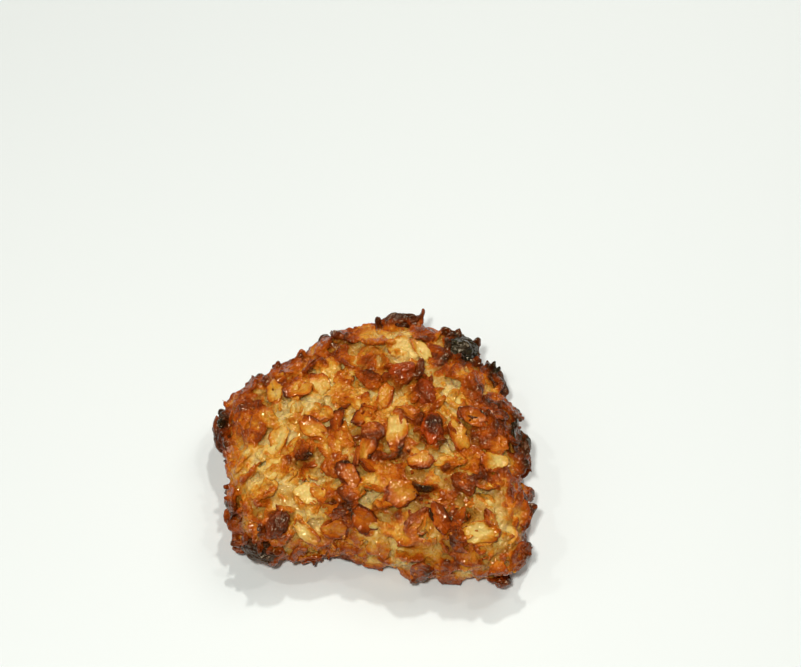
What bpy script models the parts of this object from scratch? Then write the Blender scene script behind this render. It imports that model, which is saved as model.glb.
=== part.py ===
"""A home-baked oat biscuit: a thick, craggy drop of rolled oats in syrup, with raisins in its crust.

Run it with blender --background --python part.py, or from the text editor.
Units are metres and +Z is up.
The origin is on the flat underside, near the middle of the outline, and the front is -Y.
"""

import math
import random
from collections import namedtuple

import bmesh
import bpy
from mathutils import Matrix, Vector, noise

MM = 0.001

# The whole biscuit
THICKNESS = 19.0 * MM  # from the tray to the middle of the top, before the flakes
BELLY = 0.42 * THICKNESS  # height at which the side bulges most
FOOT_DEPTH = 1.45 * BELLY  # how far the rounded form would reach below the belly; the tray cuts it flat
TOP_ROUNDNESS = 2.7  # superellipse powers: 2 is a plain ellipse, more is squarer
FOOT_ROUNDNESS = 3.2

# How far the crumb reaches from the middle, every 15 degrees from +X towards +Y
RIM_MM = (
    35.8, 33.6, 34.2, 36.4, 36.6, 35.2,
    33.8, 32.0, 30.4, 30.2, 34.4, 35.2,
    33.0, 33.6, 36.4, 35.2, 28.4, 24.6,
    25.8, 30.4, 35.0, 44.4, 40.0, 34.6,
)

# Clumps and hollows of the top: middle x, y, reach and rise, in millimetres
CLUMPS_MM = (
    (-26.0, -19.0, 9.0, 2.2),
    (-13.5, -14.0, 6.0, -2.4),
    (-8.0, 9.0, 5.5, -1.3),
    (1.0, -3.0, 9.0, 1.0),
    (7.0, -17.0, 7.0, 1.2),
    (23.0, -22.0, 9.0, 1.4),
    (17.5, -21.0, 3.0, -3.2),
    (27.0, 4.0, 9.0, 0.9),
    (4.0, 25.0, 8.0, 1.0),
    (-22.0, 9.0, 8.0, 1.0),
)
CRAG_SIZE, CRAG_RISE = 9.5 * MM, 1.7 * MM
CRUMB_SEED_POINT = Vector((3.1, 7.7, 1.9))
CRUMB_AROUND, CRUMB_RINGS = 34, 16

# Rolled oats
FLAKE_SIDES = 7
FLAKE_THICK = 1.05 * MM
TOP_FLAKES = 100
SIDE_COURSES = ((0.13, 25), (-0.01, 27), (-0.19, 24))  # climb from the belly, and how many flakes
SIDE_LEAN = 0.55  # the side's flakes lean less than the top's
SHELF_SHARE = 0.42  # share of the side's flakes that lie like shelves, showing their edges
SHELF_SUNK = 0.9 * MM
GOLDEN_ANGLE = math.radians(137.508)
FLAKE_SEED = 24
CLEAR_OF_SHOWN = 3.4 * MM  # a scattered flake keeps this far from the middle of one that is placed by hand

Flake = namedtuple("Flake", "middle facing along length width cup")

# Flakes that stand out in the crust: x, y, heading in degrees, length, width,
# lean to the front and to the right in degrees, and lift; lengths are in millimetres
SHOWN_FLAKES_MM = (
    (11.7, 22.0, -47, 8.6, 3.6, 8, 12, 0.9),
    (5.6, -1.8, 86, 11.6, 5.6, 4, -6, 0.9),
    (3.2, 8.8, 76, 8.6, 4.8, 6, 10, 0.7),
    (23.6, -26.6, -6, 9.4, 6.2, 22, 4, 0.9),
    (14.6, -23.0, -58, 8.8, 5.6, 16, 14, 0.8),
    (26.8, -8.6, 18, 8.4, 5.4, 6, 16, 0.9),
    (-22.4, 11.6, -72, 9.0, 4.8, 4, -14, 0.6),
    (-11.6, 12.4, -58, 8.0, 5.2, 6, 6, 0.5),
    (-16.2, 9.8, 12, 7.8, 5.2, 12, -6, 1.0),
    (-13.4, 0.6, -40, 9.8, 5.0, 10, -8, 0.9),
    (-7.2, 2.4, 72, 7.2, 3.6, 4, -24, 0.8),
    (-2.4, 2.2, 58, 8.6, 4.4, 10, 22, 1.1),
    (-1.6, -6.4, 64, 8.2, 4.6, 10, 18, 0.9),
    (-5.2, -12.0, -52, 8.2, 5.4, 16, -6, 0.8),
    (6.2, -17.6, 22, 10.0, 7.2, 14, 4, 1.0),
    (10.6, -9.6, 10, 8.0, 4.6, 12, 2, 0.7),
    (-15.0, -23.6, -56, 9.0, 4.2, 18, -12, 0.9),
    (-8.6, -22.6, -10, 8.0, 5.2, 20, 2, 0.7),
    (-2.2, -21.6, -60, 9.0, 5.6, 18, 14, 1.0),
    (-14.2, -15.4, 4, 8.0, 6.4, 4, 0, 0.2),
    (6.4, 18.4, 2, 8.4, 6.4, 4, 4, 0.7),
    (19.4, -2.6, -62, 9.6, 5.0, 6, 18, 1.0),
    (22.6, 2.4, -18, 9.0, 5.0, 14, 10, 0.9),
    (-21.0, -1.6, 62, 8.6, 5.0, 8, -18, 0.9),
)

# Raisins: name, x and y of the place in the crust (one beyond the rim lies in the side),
# length, width and height in millimetres, heading in degrees and how much of the height is sunk
RAISINS = (
    ("raisin_back_right", 22.0, 24.0, 8.6, 7.6, 5.2, 20, 0.52),
    ("raisin_right_edge", 30.0, 18.6, 9.0, 6.2, 5.8, -58, 0.50),
    ("raisin_centre", 13.5, -1.4, 9.6, 6.0, 5.6, 84, 0.44),
    ("raisin_centre_upper", 12.8, 9.7, 8.2, 5.2, 4.6, -66, 0.50),
    ("raisin_block", 7.4, 14.6, 7.6, 5.0, 4.8, 18, 0.42),
    ("raisin_front_left", -21.8, -22.8, 7.6, 5.6, 5.4, 70, 0.48),
    ("raisin_corner", -28.2, -27.0, 8.2, 6.2, 5.8, 20, 0.50),
    ("raisin_left_edge", -36.0, 5.8, 12.4, 6.4, 6.2, 84, 0.46),
    ("raisin_back", 7.3, 33.0, 9.4, 5.6, 5.6, -4, 0.46),
)
RAISIN_AROUND, RAISIN_RINGS = 12, 8
RAISIN_WRINKLE = 0.10  # share of its radius
POCKET_GAP = 0.4 * MM
CLEAR_OF_RAISIN = 1.6 * MM
SLIVER = 0.1 * MM  # edges shorter than this are closed up


def clear_scene():
    for thing in list(bpy.data.objects):
        bpy.data.objects.remove(thing)


def collection_named(name):
    made = bpy.data.collections.new(name)
    bpy.context.scene.collection.children.link(made)
    return made


def material(name, colour, roughness):
    made = bpy.data.materials.new(name)
    made.use_nodes = True
    shader = made.node_tree.nodes["Principled BSDF"]
    shader.inputs["Base Color"].default_value = (*colour, 1.0)
    shader.inputs["Roughness"].default_value = roughness
    shader.inputs["Metallic"].default_value = 0.0
    return made


def object_of(bm, name, home, finish=None):
    bmesh.ops.triangulate(bm, faces=bm.faces)
    mesh = bpy.data.meshes.new(name)
    bm.to_mesh(mesh)
    bm.free()
    made = bpy.data.objects.new(name, mesh)
    if finish:
        mesh.materials.append(finish)
    home.objects.link(made)
    return made


# The form of the crumb


def rim_radius(theta):
    """Radius of the crumb at a compass angle, on a smooth closed curve through RIM_MM."""
    step = math.tau / len(RIM_MM)
    place = (theta % math.tau) / step
    i = int(place)
    t = place - i
    a, b, c, d = (RIM_MM[(i + k) % len(RIM_MM)] for k in (-1, 0, 1, 2))
    curve = b + 0.5 * t * (c - a + t * (2 * a - 5 * b + 4 * c - d + t * (3 * (b - c) + d - a)))
    return curve * MM


def clump_rise(x, y):
    rise = 0.0
    for cx, cy, reach, height in CLUMPS_MM:
        away = ((x / MM - cx) ** 2 + (y / MM - cy) ** 2) / reach**2
        rise += height * MM * math.exp(-away)
    return rise


def crumb_point(theta, climb):
    """A point of the crumb; climb is -1 under the foot, 0 at the belly and 1 in the middle of the top."""
    power = TOP_ROUNDNESS if climb >= 0 else FOOT_ROUNDNESS
    reach = THICKNESS - BELLY if climb >= 0 else FOOT_DEPTH
    angle = climb * math.pi / 2
    out = rim_radius(theta) * abs(math.cos(angle)) ** (2 / power)
    up = reach * math.copysign(abs(math.sin(angle)) ** (2 / power), climb)
    point = Vector((out * math.cos(theta), out * math.sin(theta), BELLY + up))
    crag = CRAG_RISE * noise.noise(point / CRAG_SIZE + CRUMB_SEED_POINT)
    level = math.cos(angle)
    outward = Vector((math.cos(theta) * level, math.sin(theta) * level, math.sin(angle)))
    point += outward * crag
    if climb > 0:
        point.z += clump_rise(point.x, point.y) * math.sin(angle)
    return point


def crumb_facing(theta, climb):
    """The crumb's point there, and the direction that its surface faces."""
    step = 0.02
    middle = crumb_point(theta, climb)
    across = crumb_point(theta + step, climb) - crumb_point(theta - step, climb)
    upward = crumb_point(theta, min(climb + step, 0.999)) - crumb_point(theta, climb - step)
    return middle, across.cross(upward).normalized()


def climb_at(theta, radius):
    """The climb at which the smooth top has that radius."""
    share = min(radius / rim_radius(theta), 1.0)
    return math.acos(share ** (TOP_ROUNDNESS / 2)) / (math.pi / 2)


def crumb_object(home, finish):
    bm = bmesh.new()
    bmesh.ops.create_uvsphere(bm, u_segments=CRUMB_AROUND, v_segments=CRUMB_RINGS, radius=1.0)
    for vert in bm.verts:
        theta = math.atan2(vert.co.y, vert.co.x)
        climb = math.asin(max(-1.0, min(1.0, vert.co.z))) / (math.pi / 2)
        vert.co = crumb_point(theta, climb)
    return object_of(bm, "biscuit", home, finish)


# Rolled oats


def leaning(facing, front, right):
    """The facing turned towards the front (-Y) and towards the right (+X), in degrees."""
    turn = Matrix.Rotation(math.radians(front), 3, "X") @ Matrix.Rotation(math.radians(right), 3, "Y")
    return (turn @ facing).normalized()


def shown_flakes():
    flakes = []
    for x, y, heading, length, width, front, right, lift in SHOWN_FLAKES_MM:
        theta = math.atan2(y, x)
        middle, facing = crumb_facing(theta, climb_at(theta, math.hypot(x, y) * MM))
        facing = leaning((facing + Vector((0, 0, 1))).normalized(), front, right)
        turned = math.radians(heading)
        along = Vector((math.cos(turned), math.sin(turned), 0))
        flakes.append(Flake(middle + facing * lift * MM, facing, along, length * MM, width * MM, 0.5 * MM))
    return flakes


def scattered_places():
    """Where the other flakes go: a sunflower spiral over the top, then staggered courses round the side."""
    for k in range(TOP_FLAKES):
        theta = k * GOLDEN_ANGLE
        yield theta, climb_at(theta, 0.95 * rim_radius(theta) * math.sqrt((k + 0.5) / TOP_FLAKES)), False
    for course, (climb, count) in enumerate(SIDE_COURSES):
        for k in range(count):
            yield math.tau * (k + 0.5 * (course % 2)) / count, climb, True


def scattered_flakes(shown):
    """Flakes strewn by rule with a seeded draw, none on top of a shown one."""
    draw = random.Random(FLAKE_SEED)
    flakes = []
    for theta, climb, on_side in scattered_places():
        theta += draw.uniform(-0.05, 0.05)
        climb += draw.uniform(-0.03, 0.03)
        length = draw.uniform(6.4, 9.6) * MM
        width = length * draw.uniform(0.62, 0.8)
        turned = draw.uniform(0, math.tau)
        lean = math.radians(abs(draw.gauss(0, 21)) + (draw.uniform(20, 42) if draw.random() < 0.16 else 0))
        lift = draw.uniform(-0.1, 0.5) * MM
        cup = draw.uniform(-0.5, 0.9) * MM
        if on_side:
            lean *= SIDE_LEAN
        middle, facing = crumb_facing(theta, climb)
        across = facing.orthogonal().normalized()
        axis = Matrix.Rotation(turned, 3, facing) @ across
        facing = Matrix.Rotation(lean, 3, axis) @ facing
        along = Matrix.Rotation(draw.uniform(0, math.tau), 3, facing) @ facing.orthogonal().normalized()
        if on_side and draw.random() < SHELF_SHARE:
            along = facing.cross(Vector((0, 0, 1))).normalized()
            facing = Matrix.Rotation(math.radians(draw.uniform(38, 74)), 3, along) @ facing
            middle = middle - facing.cross(along) * SHELF_SUNK
        middle = middle + facing * lift
        if all((middle - other.middle).length > CLEAR_OF_SHOWN for other in shown):
            flakes.append(Flake(middle, facing, along, length, width, cup))
    return flakes


def flake_matrix(flake):
    """Axes along the flake's length, its width and the way it faces."""
    across = flake.facing.cross(flake.along).normalized()
    along = across.cross(flake.facing).normalized()
    turned = Matrix((along, across, flake.facing)).transposed().to_4x4()
    return Matrix.Translation(flake.middle) @ turned


def flake_object(flake, name, home):
    """One rolled oat: an oval plate, dished along its length and thinner at its edge."""
    bm = bmesh.new()
    bmesh.ops.create_cone(
        bm, cap_ends=True, cap_tris=True, segments=FLAKE_SIDES, radius1=1.0, radius2=1.0, depth=2.0
    )
    for vert in bm.verts:
        u, v, side = vert.co
        edge = u * u + v * v
        bend = flake.cup * (v * v * 0.9 + u * u * 0.35 - 0.45)
        half = FLAKE_THICK / 2 * (1.15 - 0.45 * edge)
        vert.co = Vector((u * flake.length / 2, v * flake.width / 2, bend + side * half))
    made = object_of(bm, name, home)
    made.matrix_world = flake_matrix(flake)
    return made


# Raisins


def raisin_matrix(row):
    """Where a raisin lies: sunk into the crumb, with its length along its heading."""
    _, x, y, _, _, height, heading, sunk = row
    theta = math.atan2(y, x)
    middle, facing = crumb_facing(theta, climb_at(theta, math.hypot(x, y) * MM))
    turned = math.radians(heading)
    along = Vector((math.cos(turned), math.sin(turned), 0))
    across = facing.cross(along).normalized()
    along = across.cross(facing).normalized()
    axes = Matrix((along, across, facing)).transposed().to_4x4()
    return Matrix.Translation(middle + facing * height * MM * (0.5 - sunk)) @ axes


def raisin_object(row, name, home, grown=0.0, finish=None):
    """A shrivelled oval, plumper below, with folds that run along it."""
    _, _, _, length, width, height, _, _ = row
    bm = bmesh.new()
    bmesh.ops.create_uvsphere(bm, u_segments=RAISIN_AROUND, v_segments=RAISIN_RINGS, radius=1.0)
    turn = Matrix.Rotation(math.pi / 2, 3, "Y")
    for vert in bm.verts:
        ball = turn @ vert.co
        fold = 1 + RAISIN_WRINKLE * noise.noise(ball * 1.9 + Vector((length, width, height)))
        half = Vector((length, width, height)) * MM / 2
        vert.co = Vector((ball.x * half.x, ball.y * half.y, ball.z * half.z)) * fold
        vert.co += ball * grown
    made = object_of(bm, name, home, finish)
    made.matrix_world = raisin_matrix(row)
    return made


def clear_of_raisins(flake):
    """True if the flake's plate stays off every raisin."""
    for row in RAISINS:
        place = raisin_matrix(row)
        local = place.inverted() @ flake.middle
        half = Vector(row[3:6]) * MM / 2 + Vector((1, 1, 1)) * (CLEAR_OF_RAISIN + flake.width / 4)
        if (local.x / half.x) ** 2 + (local.y / half.y) ** 2 + (local.z / half.z) ** 2 < 1:
            return False
    return True


# Joining and cutting


def apply_boolean(target, operation, other):
    """Applies one Boolean to the target with an object or a whole collection, then removes what it used."""
    cut = target.modifiers.new(operation.lower(), "BOOLEAN")
    cut.operation = operation
    cut.solver = "MANIFOLD"
    if isinstance(other, bpy.types.Collection):
        cut.operand_type = "COLLECTION"
        cut.collection = other
    else:
        cut.object = other
    graph = bpy.context.evaluated_depsgraph_get()
    result = bpy.data.meshes.new_from_object(target.evaluated_get(graph))
    target.modifiers.clear()
    target.data = result
    used = list(other.objects) if isinstance(other, bpy.types.Collection) else [other]
    for thing in used:
        bpy.data.objects.remove(thing)


def tray(home):
    """The flat tray that cuts the underside level, as a block whose top is at z = 0."""
    bm = bmesh.new()
    side, depth = 160 * MM, 30 * MM
    bmesh.ops.create_cube(bm, size=1.0)
    for vert in bm.verts:
        vert.co = Vector((vert.co.x * side, vert.co.y * side, vert.co.z * depth - depth / 2))
    made = object_of(bm, "tray", home)
    made.hide_render = True
    made.display_type = "WIRE"
    return made


def islands(bm):
    """The mesh's separate shells, each a list of faces."""
    left = set(bm.faces)
    found = []
    while left:
        start = left.pop()
        shell, front = [start], [start]
        while front:
            face = front.pop()
            for edge in face.edges:
                for near in edge.link_faces:
                    if near in left:
                        left.remove(near)
                        shell.append(near)
                        front.append(near)
        found.append(shell)
    return found


def close_slivers(bm):
    """Closes up the shortest edges, one at a time, wherever that leaves the surface whole."""
    for _ in range(6):
        short = sorted((e for e in bm.edges if e.calc_length() < SLIVER), key=lambda e: e.calc_length())
        if not short:
            return
        for edge in short:
            if not edge.is_valid or edge.calc_length() >= SLIVER:
                continue
            one, other = edge.verts
            near_one = {e.other_vert(one) for e in one.link_edges}
            near_other = {e.other_vert(other) for e in other.link_edges}
            if len(near_one & near_other) == 2:
                bmesh.ops.weld_verts(bm, targetmap={one: other})


def keep_largest(target):
    """Keeps the outer shell alone, which drops loose scraps and fills the hollows that flakes sealed."""
    bm = bmesh.new()
    bm.from_mesh(target.data)
    shells = sorted(islands(bm), key=len)
    for shell in shells[:-1]:
        bmesh.ops.delete(bm, geom=shell, context="FACES")
    bmesh.ops.triangulate(bm, faces=bm.faces)
    close_slivers(bm)
    bm.to_mesh(target.data)
    bm.free()


def build():
    clear_scene()
    home = collection_named("oat_biscuit")
    oats = collection_named("rolled_oats")
    cutters = collection_named("cutters")
    crust = material("baked_oats", (0.46, 0.19, 0.045), 0.45)
    fruit = material("raisin", (0.075, 0.026, 0.010), 0.3)

    biscuit = crumb_object(home, crust)
    shown = [flake for flake in shown_flakes() if clear_of_raisins(flake)]
    scattered = [flake for flake in scattered_flakes(shown) if clear_of_raisins(flake)]
    for count, flake in enumerate(shown + scattered):
        flake_object(flake, f"flake_{count}", oats)
    bpy.context.view_layer.update()
    apply_boolean(biscuit, "UNION", oats)
    apply_boolean(biscuit, "DIFFERENCE", tray(cutters))
    for row in RAISINS:
        pocket = raisin_object(row, "pocket", cutters, grown=POCKET_GAP)
        pocket.hide_render = True
        pocket.display_type = "WIRE"
        bpy.context.view_layer.update()
        apply_boolean(biscuit, "DIFFERENCE", pocket)
    keep_largest(biscuit)
    bpy.data.collections.remove(oats)
    bpy.data.collections.remove(cutters)
    for row in RAISINS:
        raisin = raisin_object(row, row[0], home, finish=fruit)
        raisin.data.shade_smooth()


build()
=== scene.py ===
"""Looks of the oat biscuit: browned flakes in syrup on a lumpy crumb, and glossy wrinkled raisins."""

import math
import random
from collections import namedtuple

import bmesh
import bpy
import numpy as np
from mathutils import Matrix, Vector, noise
from mathutils.bvhtree import BVHTree


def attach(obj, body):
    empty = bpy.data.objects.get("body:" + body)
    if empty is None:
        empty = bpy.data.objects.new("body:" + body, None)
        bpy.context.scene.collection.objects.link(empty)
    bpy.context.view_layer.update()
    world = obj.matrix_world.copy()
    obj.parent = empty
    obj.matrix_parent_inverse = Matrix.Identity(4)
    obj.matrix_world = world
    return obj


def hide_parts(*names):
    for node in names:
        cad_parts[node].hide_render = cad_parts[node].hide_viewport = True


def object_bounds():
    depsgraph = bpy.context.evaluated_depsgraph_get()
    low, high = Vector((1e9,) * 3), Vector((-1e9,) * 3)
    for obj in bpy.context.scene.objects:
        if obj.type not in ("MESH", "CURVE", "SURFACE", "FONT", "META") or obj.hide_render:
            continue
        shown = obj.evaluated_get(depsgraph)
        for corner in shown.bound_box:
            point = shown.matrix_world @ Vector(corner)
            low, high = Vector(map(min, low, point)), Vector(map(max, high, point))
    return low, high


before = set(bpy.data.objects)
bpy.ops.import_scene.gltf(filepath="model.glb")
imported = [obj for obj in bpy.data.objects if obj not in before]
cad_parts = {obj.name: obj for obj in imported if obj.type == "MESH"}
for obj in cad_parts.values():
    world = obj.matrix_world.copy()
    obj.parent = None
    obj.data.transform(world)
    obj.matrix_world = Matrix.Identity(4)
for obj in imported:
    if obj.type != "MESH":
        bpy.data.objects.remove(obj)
cad_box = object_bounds()

MM = 0.001
BOX_MARGIN = 0.02 * MM  # every piece keeps this far inside the solids' box

# The form of the crumb, as the solid has it
THICKNESS = 19.0 * MM
BELLY = 0.42 * THICKNESS
FOOT_DEPTH = 1.45 * BELLY
TOP_ROUNDNESS = 2.7
FOOT_ROUNDNESS = 3.2
# How far the crumb reaches from the middle, every 15 degrees from +X towards +Y
RIM_MM = (
    35.8, 33.6, 34.2, 36.4, 36.6, 35.2,
    33.8, 32.0, 30.4, 30.2, 34.4, 35.2,
    33.0, 33.6, 36.4, 35.2, 28.4, 24.6,
    25.8, 30.4, 35.0, 44.4, 40.0, 34.6,
)
# Clumps and hollows of the top: middle x, y, reach and rise
CLUMPS_MM = (
    (-26.0, -19.0, 9.0, 2.2),
    (-13.5, -14.0, 6.0, -2.4),
    (-8.0, 9.0, 5.5, -1.3),
    (1.0, -3.0, 9.0, 1.0),
    (7.0, -17.0, 7.0, 1.2),
    (23.0, -22.0, 9.0, 1.4),
    (17.5, -21.0, 3.0, -3.2),
    (27.0, 4.0, 9.0, 0.9),
    (4.0, 25.0, 8.0, 1.0),
    (-22.0, 9.0, 8.0, 1.0),
)
CRAG_SIZE, CRAG_RISE = 9.5 * MM, 1.7 * MM
CRUMB_SEED_POINT = Vector((3.1, 7.7, 1.9))

# The dough, and the flakes that are fused in it
UNDERSIDE = 0.30 * MM  # how far the underside keeps off the tray
CRUMB_SUNK = 1.2 * MM  # how far the bare dough lies inside the solid's crumb
CRUMB_REACH = 1.42  # the dough's rings go from the middle of the top this far round, to under the foot
VOXEL = 0.315 * MM
MELTED_SHARE = 0.3  # share of the flakes that have melted into the dough
MELTED_DEEP, FIRM_DEEP = (-0.3, -0.05), (0.05, 0.35)  # how deep the flakes lie in it, in millimetres
UNDER_SHOWN = 0.12 * MM  # the dough keeps this far under the flakes that stand out
SEAM = 5.0 * MM  # below this height the dough is a piece of its own
THIRD = 11.0 * MM  # above it the dough is three pieces, parted this far left and right of the middle
KNOBS, KNOBS_ROUND_RAISIN = 420, 13

# x, y, reach and depth of holes, in millimetres
PITS_MM = (
    (20.6, -21.8, 1.9, 2.8),
    (-20.4, 5.0, 1.2, 2.4),
    (-4.0, -2.6, 1.0, 2.2),
    (-10.6, 5.8, 1.6, 1.8),
    (-5.4, 15.4, 1.0, 1.6),
    (2.6, 9.8, 0.9, 1.6),
    (8.8, 4.6, 0.9, 1.8),
    (10.4, -6.2, 1.3, 1.8),
    (-14.4, -12.0, 2.6, 1.6),
    (-1.4, -17.2, 1.2, 2.0),
    (20.6, -10.4, 1.1, 2.0),
    (24.8, -14.8, 1.4, 2.0),
    (-24.6, -8.0, 1.2, 2.0),
    (-9.8, -19.2, 1.2, 2.0),
    (11.2, -25.4, 1.2, 2.0),
)

# The solid's flakes
FLAKE_THICK = 1.05 * MM
TOP_FLAKES = 100
SIDE_COURSES = ((0.13, 25), (-0.01, 27), (-0.19, 24))  # climb from the belly, and how many flakes
SIDE_LEAN = 0.55  # the side's flakes lean less than the top's
SHELF_SHARE = 0.42  # share of the side's flakes that lie like shelves, showing their edges
SHELF_SUNK = 0.9 * MM
GOLDEN_ANGLE = math.radians(137.508)
FLAKE_SEED = 24
CLEAR_OF_SHOWN = 3.4 * MM
CLEAR_OF_RAISIN = 1.6 * MM
SHOWN_CUP = 0.5 * MM
SHOWN_COVER = 0.33  # nothing is strewn this near the middle of a shown flake, as share of its length

# Small flakes and bits
UNDERSIDE_FLAKES = 150
LOOSE_CRUMBS = 1300
SPLIT_SHARE = 0.4  # share of the flakes with a split in their edge

# Flakes that are shown standing out: x, y, heading, length, width,
# lean to the front and to the right, lift, and how brown from 0 to 1
SHOWN_FLAKES_MM = (
    (11.7, 22.0, -47, 8.6, 3.6, 8, 12, 0.9, 0.06),
    (5.6, -1.8, 86, 11.6, 5.6, 4, -6, 0.9, 0.14),
    (3.2, 8.8, 76, 8.6, 4.8, 6, 10, 0.7, 0.46),
    (23.6, -26.6, -6, 9.4, 6.2, 22, 4, 0.9, 0.16),
    (14.6, -23.0, -58, 8.8, 5.6, 16, 14, 0.8, 0.58),
    (26.8, -8.6, 18, 8.4, 5.4, 6, 16, 0.9, 0.12),
    (-22.4, 11.6, -72, 9.0, 4.8, 4, -14, 0.6, 0.22),
    (-11.6, 12.4, -58, 8.0, 5.2, 6, 6, 0.5, 0.28),
    (-16.2, 9.8, 12, 7.8, 5.2, 12, -6, 1.0, 0.42),
    (-13.4, 0.6, -40, 9.8, 5.0, 10, -8, 0.9, 0.34),
    (-7.2, 2.4, 72, 7.2, 3.6, 4, -24, 0.8, 0.72),
    (-2.4, 2.2, 58, 8.6, 4.4, 10, 22, 1.1, 0.58),
    (-1.6, -6.4, 64, 8.2, 4.6, 10, 18, 0.9, 0.34),
    (-5.2, -12.0, -52, 8.2, 5.4, 16, -6, 0.8, 0.5),
    (6.2, -17.6, 22, 10.0, 7.2, 14, 4, 1.0, 0.34),
    (10.6, -9.6, 10, 8.0, 4.6, 12, 2, 0.7, 0.4),
    (-15.0, -23.6, -56, 9.0, 4.2, 18, -12, 0.9, 0.2),
    (-8.6, -22.6, -10, 8.0, 5.2, 20, 2, 0.7, 0.48),
    (-2.2, -21.6, -60, 9.0, 5.6, 18, 14, 1.0, 0.58),
    (-14.2, -15.4, 4, 8.0, 6.4, 4, 0, 0.2, 0.08),
    (6.4, 18.4, 2, 8.4, 6.4, 4, 4, 0.7, 0.52),
    (19.4, -2.6, -62, 9.6, 5.0, 6, 18, 1.0, 0.26),
    (22.6, 2.4, -18, 9.0, 5.0, 14, 10, 0.9, 0.48),
    (-21.0, -1.6, 62, 8.6, 5.0, 8, -18, 0.9, 0.18),
)

# Raisins: name, x, y, length, width, height, heading and share sunk,
# then from 0 to 1 how red, how creased and how burnt on top
RAISINS = (
    ("raisin_back_right", 22.0, 24.0, 8.6, 7.6, 5.2, 20, 0.52, 0.0, 1.0, 0.5),
    ("raisin_right_edge", 30.0, 18.6, 9.0, 6.2, 5.8, -58, 0.50, 0.2, 1.0, 0.6),
    ("raisin_centre", 13.5, -1.4, 9.6, 6.0, 5.6, 84, 0.44, 1.0, 0.8, 0.8),
    ("raisin_centre_upper", 12.8, 9.7, 8.2, 5.2, 4.6, -66, 0.50, 0.7, 0.35, 0.3),
    ("raisin_block", 7.4, 14.6, 7.6, 5.0, 4.8, 18, 0.42, 1.0, 0.4, 0.3),
    ("raisin_front_left", -21.8, -22.8, 7.6, 5.6, 5.4, 70, 0.48, 0.45, 0.8, 0.5),
    ("raisin_corner", -28.2, -27.0, 8.2, 6.2, 5.8, 20, 0.50, 0.1, 0.8, 0.8),
    ("raisin_left_edge", -36.0, 5.8, 12.4, 6.4, 6.2, 84, 0.46, 0.4, 1.0, 0.5),
    ("raisin_back", 7.3, 33.0, 9.4, 5.6, 5.6, -4, 0.46, 0.25, 0.8, 0.6),
)
RAISIN_WRINKLE = 0.10

# How brown the crust is before the scorches and the painted shade, from 0 (pale) to 1 (burnt)
BROWN_MEAN, BROWN_MOST = 0.27, 0.80
BROWN_LUMPS_MM = ((9, 0.24, 3), (4.2, 0.18, 4), (2, 0.10, 14))  # size, strength and seed
RIM_BROWN, FOOT_BROWN = 0.07, 0.05
PROUD_BROWN = 0.08  # browner by this for each millimetre that a point stands out
# sheltered dough is paler, and the deepest hollows are darkened by this much as painted shade
SHELTERED_PALE, PAINTED_HOLLOW_SHADE = 0.10, 0.3
SHOWN_SHARE = 0.3  # how far the browning round a shown flake counts for it

# Where the oven caught the crust more or less, and one row of painted shade in the pit's hollow: x, y, z,
# reach in millimetres, and how much darker
SCORCHES_AND_SHADE_MM = (
    (7.0, -7.4, 19.5, 1.9, 0.70),
    (22.6, -3.0, 18.5, 2.2, 0.34),
    (24.3, -13.2, 17.5, 2.8, 0.36),
    (16.3, -23.2, 16.0, 2.6, 0.30),
    # painted shade: darkens the hollow of the pit at 20.6, -21.8
    (20.8, -22.0, 14.0, 2.4, 0.60),
    (-15.7, -8.0, 18.5, 3.4, 0.46),
    (-2.8, -2.4, 19.5, 2.8, 0.32),
    (-5.0, -12.5, 18.3, 2.4, 0.20),
    (-6.8, -18.5, 17.0, 2.4, 0.24),
    (-14.9, 10.2, 18.5, 1.8, 0.30),
    (-28.0, 8.3, 13.0, 4.5, 0.18),
    (-24.6, 3.0, 15.0, 3.0, 0.24),
    (-26.4, -15.0, 12.0, 3.5, 0.18),
    (-5.0, 7.0, 19.0, 3.6, 0.26),
    (1.5, -2.0, 19.0, 3.0, 0.10),
    (9.0, 15.0, 18.0, 4.0, 0.16),
    (13.0, 3.0, 18.0, 3.6, 0.22),
    (-12.0, 0.0, 19.0, 3.0, 0.14),
    (2.9, -19.4, 17.0, 3.4, 0.18),
    (17.0, 31.0, 9.0, 5.0, 0.50),
    (23.0, 25.0, 12.0, 6.0, 0.45),
    (30.0, 20.0, 10.0, 5.0, 0.40),
    (35.0, 10.0, 8.0, 5.0, 0.15),
    (34.0, 2.0, 9.0, 8.0, 0.18),
    (34.0, -16.0, 12.0, 8.0, 0.28),
    (34.0, -27.0, 9.0, 6.0, 0.24),
    (29.0, -30.0, 3.0, 9.0, 0.08),
    (12.0, -30.0, 5.0, 6.0, 0.20),
    (-27.0, -26.0, 8.0, 6.0, 0.32),
    (-32.0, -14.0, 8.0, 6.0, 0.12),
    (-36.0, 5.0, 9.0, 7.0, 0.30),
    (5.0, 34.0, 10.0, 9.0, 0.30),
    (-8.0, -24.0, 6.0, 7.0, 0.10),
    (8.2, 4.7, 19.5, 3.0, -0.20),
    (6.0, 23.0, 17.0, 4.0, -0.14),
    (-27.0, -8.0, 14.0, 3.0, -0.16),
)

# Camera and light
PHOTO_WIDTH, PHOTO_HEIGHT = 801, 667
SUBJECT_PIXEL = (369.5, 448.0)  # where the middle of the biscuit is in the frame
PIXELS_PER_MM = 4.33
CAMERA_AWAY = 450 * MM
LOOK_DOWN = 58.0
SENSOR_MM = 36.0
SUBJECT = Vector((0.0, 0.0, 10 * MM))
LAMP_COLOUR = (1.0, 0.955, 0.84)
STUDIO_COLOUR, STUDIO_LIGHT = (1.0, 0.94, 0.80, 1.0), 0.08

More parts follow.
